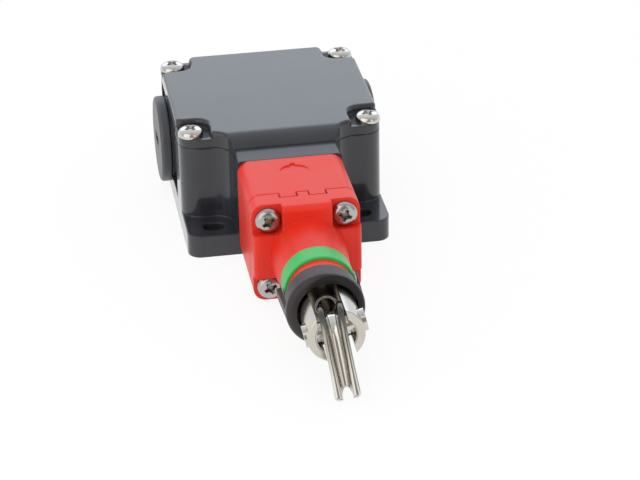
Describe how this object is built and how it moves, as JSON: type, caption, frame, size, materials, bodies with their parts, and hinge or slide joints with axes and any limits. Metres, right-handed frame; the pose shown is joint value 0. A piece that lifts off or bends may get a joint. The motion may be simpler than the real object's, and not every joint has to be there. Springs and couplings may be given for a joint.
{
  "type": "rope pull switch",
  "caption": "Rope pull safety switch: die-cast housing with screwed lid and mounting ears, red two-part head, and a sprung pull rod whose fork carries a rope thimble.",
  "frame": {"origin": "on the mounting face, in the middle of the four mounting slots", "axes": "+Z out of the mounting face towards the lid, -Y along the pull rod towards the rope, +X to the right when the pull rod points at the viewer"},
  "size_m": [0.0762, 0.197, 0.0396],
  "materials": {
    "housing": "glossy anthracite powder coat on die-cast aluminium",
    "nickel": "bright nickel plate",
    "seal": "matte black nitrile",
    "plug": "fine-textured black polyamide",
    "contact_case": "moulded black thermoset",
    "contact_slide": "moulded natural acetal",
    "contact_metal": "silver-plated brass",
    "head_red": "satin red glass-filled polyamide",
    "ring_green": "satin green plastic",
    "collar": "satin black plastic",
    "bush": "sintered bronze",
    "steel": "turned stainless steel",
    "spring": "drawn spring wire"
  },
  "bodies": {
    "housing": {"housing_body": "housing", "lid": "housing", "lid_gasket": "seal", "lid_screws": "nickel", "conduit_plug_left": "plug", "conduit_plug_right": "plug", "plug_seals": "seal", "earth_screw": "nickel", "contact_block_case": "contact_case", "block_screws": "nickel", "fixed_contacts": "contact_metal", "terminal_screws": "nickel", "head_rear": "head_red", "head_front": "head_red", "head_gasket": "seal", "head_screws": "nickel", "green_ring": "ring_green", "guide_bush": "bush", "rod_wiper": "seal", "return_spring": "spring"},
    "pull_slide": {"spring_cup": "steel", "transmission_plunger": "steel"},
    "fork": {"pull_rod": "nickel", "lock_nut": "nickel", "indicator_collar": "collar", "fork_pin": "nickel"},
    "rope_thimble": {"thimble": "nickel"},
    "contact_carriage": {"contact_slide": "contact_slide", "contact_bridges": "contact_metal"}
  },
  "joints": [
    {"name": "rope_pull", "type": "slide", "parent": "housing", "child": "pull_slide", "axis": [0, -1, 0], "range_m": [0, 0.008], "stiffness_N_per_m": 5000, "springref_m": -0.005, "deforming": ["return_spring"]},
    {"name": "fork_swivel", "type": "hinge", "parent": "pull_slide", "child": "fork", "pos_m": [0, 0, 0.018], "axis": [0, -1, 0], "continuous": true},
    {"name": "thimble_swing", "type": "hinge", "parent": "fork", "child": "rope_thimble", "pos_m": [0, -0.1326, 0.018], "axis": [-0.9763, 0, -0.2164], "range_deg": [0, 133]},
    {"name": "contact_travel", "type": "slide", "parent": "housing", "child": "contact_carriage", "axis": [0, -1, 0], "range_m": [0, 0.008]}
  ],
  "couplings": [
    {"joint": "contact_travel", "follows": "rope_pull", "ratio": 1}
  ]
}
